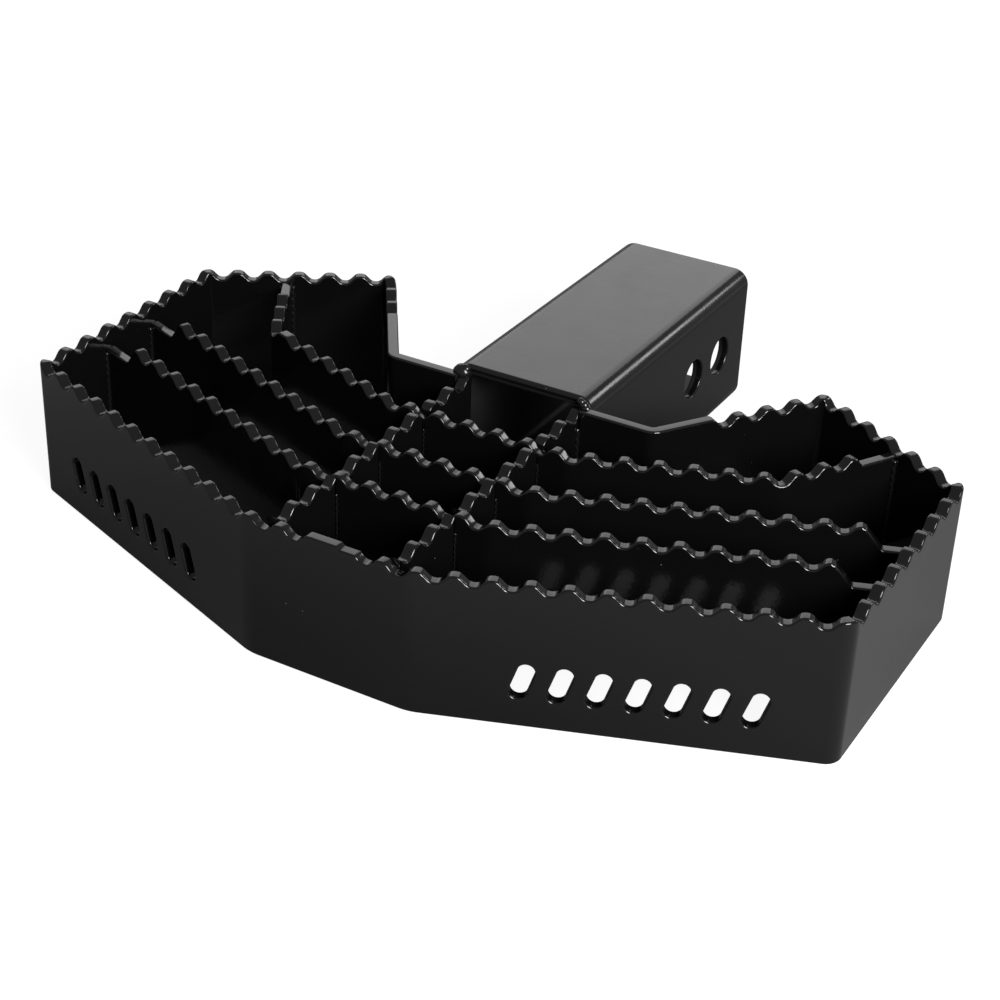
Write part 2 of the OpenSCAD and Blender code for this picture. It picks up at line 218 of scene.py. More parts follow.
# %% Height of a tooth beside a dip
def wave(distance, top=BAND_HEIGHT):
    """Height of the edge at a distance from the middle of a dip, for a tip that stands at top."""
    floor = BAND_HEIGHT - TOOTH
    tangent = TOOTH_ROUND * math.tan(math.pi / 8)
    reach = TOOTH_ROUND * math.sin(math.pi / 4)
    low = TOOTH_FLOOR - tangent
    high = TOOTH_FLOOR + top - floor + tangent
    d = abs(distance)
    if d <= low:
        return floor
    if d <= low + reach:
        return floor + TOOTH_ROUND - math.sqrt(TOOTH_ROUND**2 - (d - low) ** 2)
    if d <= high - reach:
        return floor + d - TOOTH_FLOOR
    if d < high:
        return top - TOOTH_ROUND + math.sqrt(TOOTH_ROUND**2 - (high - d) ** 2)
    return top


def wavy(dips):
    """An edge with dips at the given places along the plate."""
    return lambda s: min(wave(s - dip) for dip in dips)


print("tip", wave(BAND_PITCH / 2), "mm, floor", wave(0.0), "mm above the ground")

# %% [markdown]
# ## A sheet of plate
# A sheet is a grid that stands upright: its columns run along the plate and its rows go up. Each
# row may be a wavy line, so the top row carries the teeth. The columns are close together, because
# the teeth and the folds both need them. Places that must be exact, such as the sides of a slot,
# are given as columns of their own.


# %% Columns and rows of a sheet
TOOTH_STEPS = 28
PLAIN_ROWS = (0, 8, 30)


def stations(start, end, step, exact=()):
    """Even places from start to end, with the exact ones put in and those too near them left out."""
    count = round((end - start) / step)
    even = [start + (end - start) * i / count for i in range(count + 1)]
    keep = sorted({start, end, *exact})
    return sorted(keep + [s for s in even if min(abs(s - k) for k in keep) > 0.3 * step])


def sheet(bm, columns, rows):
    """Adds an upright sheet in the plane of X and Z: one column for each place, one row for each line."""
    grid = bmesh.ops.create_grid(bm, x_segments=len(columns) - 1, y_segments=len(rows) - 1, size=0.5)
    made = grid["verts"]
    across = {x: i for i, x in enumerate(sorted({round(v.co.x, 5) for v in made}))}
    upward = {y: j for j, y in enumerate(sorted({round(v.co.y, 5) for v in made}))}
    assert len(across) == len(columns) and len(upward) == len(rows)
    for v in made:
        s = columns[across[round(v.co.x, 5)]]
        v.co = (s, 0.0, rows[upward[round(v.co.y, 5)]](s))
    return made


def level(z):
    """A straight row at one height."""
    return lambda s: z


def take_out(bm, low, high):
    """Deletes the faces whose middle lies between two corners of the sheet."""
    gone = []
    for face in bm.faces:
        middle = face.calc_center_median()
        if low[0] < middle.x < high[0] and low[1] < middle.z < high[1]:
            gone.append(face)
    rim = dict.fromkeys(e for f in gone for e in f.edges)
    bmesh.ops.delete(bm, geom=gone, context="FACES")
    return [e for e in rim if e.is_valid and e.is_boundary]


# %% [markdown]
# Holes are opened while the sheet is flat. A rectangle of faces is taken out and the ring of the hole
# is laid in its middle. The ring grows outward into a collar of even faces, which lets the rim be
# rounded cleanly later, and the space between the collar and the rectangle is filled. The ring is a
# circle for a pin hole. For a long slot its two halves are moved apart first.


# %% Opening a hole in a sheet
COLLAR = 1.2


def ring(bm, centre, radius, stretch, slant, segments):
    """Adds a round or long ring of edges in the plane of the sheet."""
    upright = Matrix.Rotation(math.pi / 2, 4, "X")
    circle = bmesh.ops.create_circle(bm, cap_ends=False, radius=radius, segments=segments, matrix=upright)
    made = circle["verts"]
    for v in made:
        v.co.z += stretch if v.co.z > 0 else -stretch
    bmesh.ops.rotate(bm, verts=made, cent=(0, 0, 0), matrix=Matrix.Rotation(slant, 3, "Y"))
    bmesh.ops.translate(bm, verts=made, vec=(centre[0], 0, centre[1]))
    return list(dict.fromkeys(e for v in made for e in v.link_edges))


def open_hole(bm, centre, room, radius, stretch=0.0, slant=0.0, segments=32):
    """Opens a hole at centre, inside a rectangle of the given half sizes."""
    s, z = centre
    rim = take_out(bm, (s - room[0], z - room[1]), (s + room[0], z + room[1]))
    hole = ring(bm, centre, radius, stretch, slant, segments)
    grown = bmesh.ops.extrude_edge_only(bm, edges=hole)["geom"]
    moved = {g for g in grown if isinstance(g, bmesh.types.BMVert)}
    axis = Vector((math.sin(slant), 0, math.cos(slant)))
    for v in moved:
        spot = v.co - Vector((s, 0, z))
        along = min(max(spot.dot(axis), -stretch), stretch)
        v.co += COLLAR * (spot - along * axis).normalized()
    wide = [g for g in grown if isinstance(g, bmesh.types.BMEdge) and set(g.verts) <= moved]
    bmesh.ops.triangle_fill(bm, use_beauty=True, use_dissolve=False, edges=rim + wide)


# %% [markdown]
# ## Folding
# A route is the line that the middle of the plate follows, seen from above: straight legs with a bend
# at each corner. The plate is laid along it as a strip of paper would be. Points on the inside
# of a bend come closer together, those on the outside spread, and the thickness stays even.


# %% A route with bends
class Route:
    """Straight legs between corners, each with an inside bend radius. Places are measured along the legs."""

    def __init__(self, start, corners, end):
        self.points = [Vector(start), *[Vector(c) for c, _ in corners], Vector(end)]
        self.radii = [radius for _, radius in corners]
        self.legs = [b - a for a, b in zip(self.points, self.points[1:])]
        self.places = [0.0]
        for leg in self.legs:
            self.places.append(self.places[-1] + leg.length)
        self.headings = [math.atan2(leg.y, leg.x) for leg in self.legs]
        self.length = self.places[-1]

    def bend(self, k):
        """Turn, middle radius and tangent length at corner k, counted from 1."""
        turn = (self.headings[k] - self.headings[k - 1] + math.pi) % (2 * math.pi) - math.pi
        middle = self.radii[k - 1] + HALF
        return turn, middle, middle * math.tan(abs(turn) / 2)

    def at(self, s, off):
        """The point at place s, off to the left of the route."""
        for k in range(1, len(self.points) - 1):
            turn, middle, tangent = self.bend(k)
            along = s - self.places[k]
            if abs(along) < tangent:
                side = math.copysign(math.pi / 2, turn)
                before = self.headings[k - 1]
                centre = ahead(ahead(self.points[k], before, -tangent), before + side, middle)
                heading = before + turn * (along + tangent) / (2 * tangent)
                return ahead(centre, heading - side, middle - math.copysign(off, off * turn))
        leg = 0
        while leg < len(self.legs) - 1 and s > self.places[leg + 1]:
            leg += 1
        heading = self.headings[leg]
        return ahead(ahead(self.points[leg], heading, s - self.places[leg]), heading + math.pi / 2, off)


def fold(bm, route):
    """Lays a flat plate along a route."""
    for v in bm.verts:
        spot = route.at(v.co.x, v.co.y)
        v.co.x, v.co.y = spot.x, spot.y


# %% [markdown]
# ## From sheet to plate
# The sheet gets its thickness with solidify, and its rims are then rounded. That small round is what
# draws the thin bright line along each tooth, so it matters more than anything else in the picture.
# The end that is welded at the front seam stays square, because its weld is ground flush.


# %% Thickness and rounded rims
TINY = 1e-4


def thicken(bm, thickness=PLATE):
    """Turns the flat sheet into a plate with its middle on the sheet."""
    bmesh.ops.recalc_face_normals(bm, faces=bm.faces[:])
    bmesh.ops.solidify(bm, geom=bm.faces[:], thickness=thickness)
    middle = (min(v.co.y for v in bm.verts) + max(v.co.y for v in bm.verts)) / 2
    bmesh.ops.translate(bm, verts=bm.verts[:], vec=(0, -middle, 0))
    bmesh.ops.recalc_face_normals(bm, faces=bm.faces[:])


def is_rim(edge, sharp=math.radians(55)):
    """True for an edge between two faces that meet at a sharp angle."""
    return len(edge.link_faces) == 2 and edge.calc_face_angle(0.0) > sharp


def round_rims(bm, rims, radius=RIM_ROUND, segments=3):
    """Rounds the given edges."""
    bmesh.ops.bevel(
        bm,
        geom=rims,
        offset=radius,
        offset_type="OFFSET",
        segments=segments,
        profile=0.5,
        affect="EDGES",
        clamp_overlap=False,
        material=-1,
    )


def plate_rims(bm, square_end=None):
    """The rims on both faces of a flat plate, without those of the end that stays square."""
    rims = []
    for edge in bm.edges:
        a, b = (v.co for v in edge.verts)
        if abs(a.y - b.y) < 1e-6 and is_rim(edge):
            if square_end is None or max(abs(a.x - square_end), abs(b.x - square_end)) >= TINY:
                rims.append(edge)
    return rims


# %% Turning a mesh into a piece of the part
def piece(bm, name, node, slot, to_part=TO_PART):
    """Moves the mesh to the part's place, coats it, and lets it stand for its CAD node."""
    bm.transform(to_part)
    bmesh.ops.recalc_face_normals(bm, faces=bm.faces[:])
    mesh = bpy.data.meshes.new(name)
    for face in bm.faces:
        face.smooth = True
    for edge in bm.edges:
        edge.smooth = not is_rim(edge)
    bm.to_mesh(mesh)
    bm.free()
    mesh.materials.append(COATS[slot])
    made = bpy.data.objects.new(name, mesh)
    bpy.context.scene.collection.objects.link(made)
    even = made.modifiers.new("even_shading", "WEIGHTED_NORMAL")
    even.keep_sharp = True
    even.weight = 80
    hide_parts(node)
    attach(made, "root")
    print(f"{name}: {len(mesh.polygons)} faces")


# %% [markdown]
# ## The outer band
# Each half of the band is one strip with five folds. It starts at the front seam, runs out along the
# wing, turns along the end plate, comes back along the rear wing, and returns to the shank. The teeth
# stop on the return leg, where the edge runs on plain and a little higher.
# Seven slanted slots open each front wing.

# %% The edge of the band
SEAM = 0.8
LAND_RISE = 0.8
LAND_GROUND = 1.2
GROUND_FROM = 4.2
GROUND_RUN = 1.8
FRONT_DIPS = 13
tight_corners = [(corner, TIGHT_BEND) for corner in (corner_front, corner_back, corner_tail, corner_mouth)]
band_route = Route((0, HALF), [(fold_centre, FRONT_BEND), *tight_corners], (SPINE_X + HALF, corner_mouth.y))
CORNER = fold_centre.x + WING_TEETH * BAND_PITCH


def front_dips(first, step):
    """Places of the dips from the seam to the front corner."""
    return [first + k * step for k in range(FRONT_DIPS)]


def band_edge(dips, tail_dips, ground_side):
    """The band's top line. One side's land is ground a little lower beside the seam."""
    past_corner = END_TEETH + BACK_TEETH + tail_dips
    places = dips + [CORNER + (k + 0.5) * BAND_PITCH for k in range(past_corner)]

    def edge(s):
        if s >= places[-1]:
            return wave(s - places[-1], BAND_HEIGHT + LAND_RISE)
        near = [place for place in places if abs(s - place) < BAND_PITCH]
        height = min((wave(s - place) for place in near), default=BAND_HEIGHT)
        if ground_side and s < dips[0]:
            step = min(max((s - GROUND_FROM) / GROUND_RUN, 0.0), 1.0)
            height = min(height, BAND_HEIGHT - LAND_GROUND * step * step * (3 - 2 * step))
        return height

    return edge


# %% Laying out, opening, thickening and folding the band
SLOTS = 7
SLOT_FROM = fold_centre.x + 3 * BAND_PITCH - 0.6
SLOT_Z = 19.0
SLOT_WIDTH = 6.4
SLOT_HEIGHT = 15.0
SLOT_SLANT = math.radians(18)
SLOT_ROOM = (6.0, 9.0)


def band_plate(dips, tail_dips, ground_side=False):
    """The right-hand half of the band, folded."""
    bm = bmesh.new()
    columns = stations(SEAM, band_route.length, BAND_PITCH / TOOTH_STEPS)
    edge = band_edge(dips, tail_dips, ground_side)
    sheet(bm, columns, [*map(level, PLAIN_ROWS), level(SHOULDER), edge])
    stretch = (SLOT_HEIGHT - SLOT_WIDTH) / 2
    for i in range(SLOTS):
        open_hole(bm, (SLOT_FROM + i * BAND_PITCH, SLOT_Z), SLOT_ROOM, SLOT_WIDTH / 2, stretch, SLOT_SLANT)
    thicken(bm)
    round_rims(bm, plate_rims(bm, square_end=SEAM))
    fold(bm, band_route)
    return bm


def flip_x(bm):
    """Turns a right-hand mesh into a left-hand one, with its faces still pointing out."""
    bmesh.ops.scale(bm, vec=(-1, 1, 1), verts=bm.verts[:])
    bmesh.ops.reverse_faces(bm, faces=bm.faces[:])
    return bm


right_dips = front_dips(RIGHT_FIRST, RIGHT_PITCH)
left_dips = front_dips(BAND_PITCH, BAND_PITCH)
piece(band_plate(right_dips, 4, ground_side=True), "band_right_plate", "band_right", "tread_coat")
piece(flip_x(band_plate(left_dips, 3)), "band_left_plate", "band_left", "tread_coat")

# %% [markdown]
# ## The ribs
# Three ribs cross the tread. The front two have one fold on each side of the middle, and the rear rib
# has two. They are slotted from below where the spines cross them. Their ends lose the last tooth
# and run low and plain to the weld.

# %% Routes and edges of the ribs
PLAY = 0.1
TAB_DROP = 8.6
REAR_DROP = 4.0
TAB_SLOPE = math.tan(math.radians(50.5))
TAB_LIP = 0.5
TAB_ROUND_END = 1.3
WING_RIB_TEETH = 12
end_face_x = corner_front.x - HALF
wing_run = (end_face_x - RIB_FOLD_X) / math.cos(WING)


def tab(past, drop):
    """Height past the place where the teeth end: a small round, a steep flank, then the plain tab."""
    if past < TAB_LIP:
        return BAND_HEIGHT
    return max(BAND_HEIGHT - drop, BAND_HEIGHT - TAB_LIP - max(0.0, past - TAB_ROUND_END) * TAB_SLOPE)


def rib_plate(route, dips, tabs, drop, half_length):
    """A rib with its dips, and the places of its left and right tab, measured from its middle."""

    def edge(s):
        nearest = min(dips, key=lambda dip: abs(s - dip))
        return min(wave(s - nearest), tab(s - tabs[1], drop), tab(tabs[0] - s, drop))

    def shoulder(s):
        return min(SHOULDER, edge(s) - SHOULDER_GAP)

    reach = HALF + PLAY
    sides = [x + d for x in (-SPINE_X, SPINE_X) for d in (-reach, reach)]
    bm = bmesh.new()
    sheet(
        bm,
        stations(-half_length, half_length, RIB_PITCH / TOOTH_STEPS, exact=sides),
        [level(RIB_FLOOR), level(LAP), shoulder, edge],
    )
    for x in (-SPINE_X, SPINE_X):
        take_out(bm, (x - reach, 0), (x + reach, LAP))
    thicken(bm)
    round_rims(bm, plate_rims(bm))
    for v in bm.verts:
        v.co.x += route.length / 2
    fold(bm, route)
    return bm


def both_ways(points, radii):
    """A route through the points and their mirror images, from the left end to the right end."""
    left = [Vector((-p.x, p.y)) for p in reversed(points)]
    row = left + list(points)
    bends = list(reversed(radii)) + list(radii)
    return Route(row[0], list(zip(row[1:-1], bends)), row[-1])


# %% The front rib and the second rib
def wing_rib(y, name, node):
    """A rib with a straight middle and two swept wings, cut to meet the end plates."""
    bend = Vector((RIB_FOLD_X, y))
    route = both_ways([bend, ahead(bend, WING, wing_run)], [RIB_BEND])
    dips = [RIB_SHIFT + (k + 0.5) * RIB_PITCH for k in range(-WING_RIB_TEETH, WING_RIB_TEETH)]
    tabs = (RIB_SHIFT - WING_RIB_TEETH * RIB_PITCH, RIB_SHIFT + WING_RIB_TEETH * RIB_PITCH)
    bm = rib_plate(route, dips, tabs, TAB_DROP, route.length / 2)
    for v in bm.verts:
        v.co.x = min(max(v.co.x, -end_face_x), end_face_x)
    piece(bm, name, node, "tread_coat")


wing_rib(RIB_Y[0], "rib_front_plate", "rib_front")
wing_rib(RIB_Y[1], "rib_middle_plate", "rib_middle")

# %% The rear rib
LEG = math.radians(60)
LEG_DIPS = 3
REAR_WING = 80.4
REAR_WING_DIPS = 8
rear_bend = Vector((RIB_FOLD_X, RIB_Y[2]))
rear_fold = ahead(rear_bend, WING, REAR_WING)
back_normal = Vector((math.sin(BACK), math.cos(BACK)))
leg_direction = Vector((math.cos(LEG), math.sin(LEG)))
leg_run = ((corner_back - rear_fold).dot(back_normal) - HALF) / leg_direction.dot(back_normal)
rear_route = both_ways([rear_bend, rear_fold, ahead(rear_fold, LEG, leg_run)], [RIB_BEND, TIGHT_BEND])
leg_start = RIB_FOLD_X + REAR_WING
leg_dips = [leg_start + k * RIB_PITCH for k in range(LEG_DIPS)]
wing_dips = [REAR_SHIFT + k * RIB_PITCH for k in range(-REAR_WING_DIPS, REAR_WING_DIPS + 1)]
rear_dips = wing_dips + leg_dips + [-dip for dip in leg_dips]
leg_tab = leg_start + (LEG_DIPS - 0.5) * RIB_PITCH
piece(
    rib_plate(rear_route, rear_dips, (-leg_tab, leg_tab), REAR_DROP, rear_route.length / 2),
    "rib_rear_plate",
    "rib_rear",
    "tread_coat",
)
print("rear rib leg", round(leg_run, 1), "mm")

# %% [markdown]
# ## The spines
# Two straight plates run from the front plate to the mouth of the shank. They carry the step's load,
# and the ribs drop into slots cut down from their top edge.


# %% A spine with its slots
SPINE_DIPS = 10


def spine_plate(x):
    """A spine at the given distance from the middle, with a slot for each rib."""
    bm = bmesh.new()
    reach = HALF + PLAY
    sides = [y + d for y in RIB_Y for d in (-reach, reach)]
    columns = stations(PLATE, MOUTH_Y, SPINE_PITCH / TOOTH_STEPS, exact=sides)
    edge = wavy([SPINE_TIP + (k - 0.5) * SPINE_PITCH for k in range(SPINE_DIPS)])
    sheet(bm, columns, [level(RIB_FLOOR), level(LAP), level(SHOULDER), edge])
    for y in RIB_Y:
        take_out(bm, (y - reach, LAP), (y + reach, BAND_HEIGHT))
    thicken(bm)
    round_rims(bm, plate_rims(bm))
    bmesh.ops.rotate(bm, verts=bm.verts[:], cent=(0, 0, 0), matrix=Matrix.Rotation(math.pi / 2, 3, "Z"))
    bmesh.ops.translate(bm, verts=bm.verts[:], vec=(x, 0, 0))
    return bm


piece(spine_plate(SPINE_X), "spine_right_plate", "spine_right", "tread_coat")
piece(spine_plate(-SPINE_X), "spine_left_plate", "spine_left", "tread_coat")

# %% [markdown]
# ## The shank
# The shank is a square tube. Its outer and inner skins are sheets too: each is laid out flat, gets
# its pin holes, and is wrapped round a square with rounded corners. The skins are then bridged at
# both ends. The walls of the pin holes grow inward from the outer skin until they meet the inner one,
# and the rims are rounded, those of the mouth the most.


# %% Wrapping a skin round a square
PIN_ROOM = 13.0
CORNER_STEPS = 12


def wrap_stations(flat, corner):
    """Places along a quarter of the skin: half a flat, one corner, half a flat."""
    arc = corner * math.pi / 2
    turning = [flat / 2 + arc * i / CORNER_STEPS for i in range(1, CORNER_STEPS + 1)]
    return [0.0, PIN_ROOM, flat / 2, *turning, flat + arc - PIN_ROOM]


def shank_skin(bm, width, corner):
    """Adds one skin of the tube, with its pin holes open."""
    flat = width - 2 * corner
    arc = corner * math.pi / 2
    quarter = flat + arc
    columns = sorted(q * quarter + s for q in range(4) for s in wrap_stations(flat, corner)) + [4 * quarter]
    pins = (PIN_Y - PIN_SPACING, PIN_Y)
    rows = [MOUTH_Y, *[pin + d for pin in pins for d in (-PIN_ROOM, PIN_ROOM)], END_Y]
    sheet(bm, columns, [level(y) for y in rows])
    for q in (1, 3):
        for pin in pins:
            open_hole(bm, (q * quarter, pin), (PIN_ROOM, PIN_ROOM), PIN_HOLE / 2, segments=48)
    for v in bm.verts:
        if v not in done:
            s = v.co.x % (4 * quarter)
            q, rest = divmod(s, quarter)
            if rest < flat / 2:
                spot = Vector((rest, -width / 2))
            elif rest < flat / 2 + arc:
                a = (rest - flat / 2) / corner
                spot = Vector((flat / 2 + corner * math.sin(a), -flat / 2 - corner * math.cos(a)))
            else:
                spot = Vector((width / 2, -flat / 2 + rest - flat / 2 - arc))
            spot.rotate(Matrix.Rotation(q * math.pi / 2, 2))
            v.co = (spot.x, v.co.z, spot.y + SHANK / 2)
            done.add(v)


# %% Joining the skins into a tube
done = set()
tube = bmesh.new()
shank_skin(tube, SHANK, SHANK_CORNER)
shank_skin(tube, SHANK - 2 * WALL, SHANK_CORNER - WALL)
bmesh.ops.remove_doubles(tube, verts=tube.verts[:], dist=0.001)
open_edges = [e for e in tube.edges if e.is_boundary]


def middle_of(edge):
    """Middle of an edge."""
    return (edge.verts[0].co + edge.verts[1].co) / 2


def lies_at(edge, y):
    """True for an edge that lies at one end of the tube."""
    return abs(middle_of(edge).y - y) < 0.01


for end in (MOUTH_Y, END_Y):
    bmesh.ops.bridge_loops(tube, edges=[e for e in open_edges if lies_at(e, end)])
for side in (-1, 1):
    open_now = [e for e in open_edges if e.is_valid and e.is_boundary]
    outer = [e for e in open_now if middle_of(e).x * side > SHANK / 2 - 0.1]
    grown = bmesh.ops.extrude_edge_only(tube, edges=outer)["geom"]
    inner = [g for g in grown if isinstance(g, bmesh.types.BMVert)]
    bmesh.ops.translate(tube, verts=inner, vec=(-side * WALL, 0, 0))
bmesh.ops.remove_doubles(tube, verts=tube.verts[:], dist=0.01)
bmesh.ops.recalc_face_normals(tube, faces=tube.faces[:])
rims = [e for e in tube.edges if is_rim(e)]
end_rims = [e for e in rims if lies_at(e, END_Y)]
round_rims(tube, [e for e in rims if lies_at(e, MOUTH_Y)], radius=MOUTH_ROUND, segments=5)
round_rims(tube, [e for e in end_rims if e.is_valid])
round_rims(tube, [e for e in rims if e.is_valid and is_rim(e)], radius=PIN_RIM_ROUND)
piece(tube, "shank_tube_wall", "shank_tube", "shank_coat")

# %% [markdown]
# ## The welds
# A weld bead is a string of overlapping ripples. Here a sheet is rolled into a thin tube round the
# line of the weld, with a radius that swells and shrinks along it, and its ends are drawn to a point.
# Half of each bead lies inside the plates, as the real metal is melted into them.


# %% Rolling a bead round a line
BEAD_STEP = 0.42


def bead(bm, line, radius, ripple=2.1, rough=0.1, phase=0.0, around=14):
    """Adds a bead along a line of points in millimetres."""
    points = [Vector(p) for p in line]
    places = [0.0]
    for a, b in zip(points, points[1:]):
        places.append(places[-1] + (b - a).length)
    columns = stations(0.0, places[-1], BEAD_STEP)
    made = sheet(bm, columns, [level(j) for j in range(around + 1)])
    for v in made:
        s, turn = v.co.x, 2 * math.pi * v.co.z / around
        k = max(i for i in range(len(points) - 1) if places[i] <= s + 1e-9)
        direction = (points[k + 1] - points[k]).normalized()
        centre = points[k] + direction * (s - places[k])
        side = direction.orthogonal().normalized()
        other = direction.cross(side)
        scallop = abs(math.sin(math.pi * s / ripple + 0.9 * math.cos(turn) + phase))
        swell = 1 + rough * (scallop - 0.5) + 0.06 * math.sin(0.7 * s + phase) * math.cos(2 * turn + s)
        end = min(s, places[-1] - s) / radius
        taper = math.sqrt(max(0.0, 1 - (1 - min(end, 1.0)) ** 2))
        v.co = centre + (side * math.cos(turn) + other * math.sin(turn)) * radius * swell * taper
    bmesh.ops.remove_doubles(bm, verts=made, dist=0.002)


def upright_bead(bm, x, y, low, high, radius, phase, ripple=3.4, rough=0.5):
    """A bead that climbs a corner between two plates."""
    bead(bm, [(x, y, low), (x, y, high)], radius, ripple, rough, phase)


# %% Beads at the feet of the spines, at the mouth, at the crossings and at the rib ends
BEAD = 0.85
INSET = 0.25
CROSSING_BEAD = 0.42
CROSSING_INSET = 0.05
END_SHIFT = 0.3
low_z = RIB_FLOOR + 1
dip_z = BAND_HEIGHT - TOOTH
end_z = BAND_HEIGHT - TAB_DROP - 1
leg_z = BAND_HEIGHT - REAR_DROP - 1
foot = ahead(rear_fold, LEG, leg_run)
along_back = Vector((math.cos(BACK), -math.sin(BACK)))
feet, crossings, ends, mouth = (bmesh.new() for _ in range(4))
for side in (-1, 1):
    for d in (-1, 1):
        x = side * (SPINE_X + d * (HALF + INSET))
        upright_bead(feet, x, PLATE + INSET, low_z, dip_z - 2, BEAD, d)
    x = side * (SPINE_X + HALF + INSET)
    upright_bead(mouth, x, MOUTH_Y - PLATE - INSET, low_z, dip_z - 3, BEAD, side)
    for k, y in enumerate(RIB_Y):
        for d in (-1, 1):
            x = side * (SPINE_X + d * (HALF + CROSSING_INSET))
            y_bead = y - HALF - CROSSING_INSET
            heights = (low_z + 1, dip_z - 4)
            upright_bead(crossings, x, y_bead, *heights, CROSSING_BEAD, k + d, ripple=2.6, rough=0.95)
    for k, y in enumerate(RIB_Y[:2]):
        hit = y + wing_run * math.sin(WING)
        for d in (-1, 1):
            y_bead = hit + d * (HALF / math.cos(WING) + INSET) - END_SHIFT
            upright_bead(ends, side * (end_face_x - INSET), y_bead, low_z, end_z, BEAD, k + d)
    for d in (-1, 1):
        spot = foot - (HALF + INSET) * d * along_back - INSET * leg_direction
        upright_bead(ends, side * spot.x, spot.y, low_z, leg_z, BEAD, d)
piece(feet, "spine_foot_beads", "spine_foot_welds", "weld_coat")
piece(mouth, "mouth_beads", "mouth_welds", "weld_coat")
piece(crossings, "crossing_beads", "crossing_welds", "weld_coat")
piece(ends, "rib_end_beads", "rib_end_welds", "weld_coat")

# %% [markdown]
# On each side of the shank an upright bead climbs the corner beside the tube. Above it the welder let
# the metal run round the tube's own rounded corner in a few overlapping lumps, which are larger on the
# left. They close the end of the corner, so they lie half in front of it.


# %% Beads at the shank
SHANK_BEAD = 1.9
BEAD_OUT = 0.7
RIGHT_LUMPS = [(-14, 5.2, 2.4), (8, 5.0, 2.5), (30, 4.9, 2.5), (50, 5.1, 2.3), (68, 5.4, 2.0)]
LEFT_LUMPS = [(-16, 5.1, 2.8), (12, 4.4, 3.6), (42, 4.1, 4.1), (70, 5.0, 2.4)]


def shank_bead(side, lumps, name, node):
    """The bead beside the shank: an upright and lumps, each an angle, a path from the corner and a size."""
    bm = bmesh.new()
    x, y = side * SHANK / 2, MOUTH_Y + BEAD_OUT
    top = BAND_HEIGHT + LAND_RISE
    bead(bm, [(x + side * BEAD_OUT, y, 1.5), (x + side * BEAD_OUT, y, top - 1)], SHANK_BEAD, ripple=2.6)
    centre = Vector((x - side * SHANK_CORNER, MOUTH_Y - 0.3, SHANK - SHANK_CORNER))
    for angle, path, size in lumps:
        a = math.radians(angle)
        spot = centre + path * Vector((side * math.cos(a), 0, math.sin(a)))
        made = bmesh.ops.create_uvsphere(bm, u_segments=24, v_segments=16, radius=size)["verts"]
        for v in made:
            v.co.y *= 0.85
            v.co *= 1 + 0.02 * math.sin(1.9 * v.co.x + angle) * math.cos(2.3 * v.co.z)
            v.co += spot
    piece(bm, name, node, "weld_coat")


shank_bead(1, RIGHT_LUMPS, "shank_bead_right", "shank_weld_right")
shank_bead(-1, LEFT_LUMPS, "shank_bead_left", "shank_weld_left")

# %% [markdown]
# The front seam is ground flush outside, so it is a short length of the same plate with both ends
# left square. On the inside it keeps a low bead.

# %% The front seam
seam = bmesh.new()
sheet(seam, [-SEAM, 0.0, SEAM], [*map(level, PLAIN_ROWS), level(SHOULDER), level(BAND_HEIGHT)])
thicken(seam)
round_rims(seam, [e for e in plate_rims(seam, square_end=SEAM) if abs(middle_of(e).x + SEAM) > TINY])
bmesh.ops.translate(seam, verts=seam.verts[:], vec=(0, HALF, 0))
upright_bead(seam, 0, PLATE + 0.1, 1.0, BAND_HEIGHT - 1.5, 0.95, 0)
piece(seam, "front_seam_bead", "front_seam_weld", "tread_coat")

# %% [markdown]
# ## Floor, background and light
# The photograph shows the step cut out on white. A pale floor stands in for it. Where the camera looks
# straight at the floor it is lifted to white, and the coat's reflections see it at the level that the
# photograph's front plates show. The floor's paint carries a painted shade: it is darker under and behind
# the step than around it, because the insides of the tread, which mirror only that part, are almost black
# in the photograph. The step keeps its shadow.


# %% A surface that turns white for the camera
def studio_white(tree, plain, camera_lift, glossy_lift):
    """Adds light of the surface's own for rays that come from the camera, and some for reflections."""
    nodes, links = tree.nodes, tree.links
    rays = nodes.new("ShaderNodeLightPath").outputs
    lift = nodes.new("ShaderNodeEmission")
    seen = calculated(tree, "ADD", rays["Is Camera Ray"], rays["Is Transmission Ray"])
    mirrored = calculated(tree, "MULTIPLY", rays["Is Glossy Ray"], glossy_lift)
    strength = calculated(tree, "ADD", calculated(tree, "MULTIPLY", seen, camera_lift), mirrored)
    links.new(strength, lift.inputs["Strength"])
    both = nodes.new("ShaderNodeAddShader")
    links.new(plain, both.inputs[0])
    links.new(lift.outputs[0], both.inputs[1])
    return both.outputs[0]


# %% The floor's paint, with a painted shade under the step
# Painted shade: the floor's colour falls smoothly from 0.37 to 0.16 inside an oval round a point under and
# behind the step.
PAINTED_SHADE_SQUASH = (1.0, 0.75, 1.0)
PAINTED_SHADE_CENTRE = (-0.08, 0.0375, -0.032)
PAINTED_SHADE_EDGE = (0.22, 0.35)
PAINTED_SHADE_TONES = (0.16, 0.37)

floor_paint = bpy.data.materials.new("studio_floor")
floor_paint.use_nodes = True
tree = floor_paint.node_tree
tree.nodes.clear()
matt = tree.nodes.new("ShaderNodeBsdfDiffuse")
squashed = tree.nodes.new("ShaderNodeVectorMath")
squashed.operation = "MULTIPLY"
squashed.inputs[1].default_value = PAINTED_SHADE_SQUASH
tree.links.new(tree.nodes.new("ShaderNodeTexCoord").outputs["Object"], squashed.inputs[0])
away = tree.nodes.new("ShaderNodeVectorMath")
away.operation = "DISTANCE"
away.inputs[1].default_value = PAINTED_SHADE_CENTRE
tree.links.new(squashed.outputs[0], away.inputs[0])
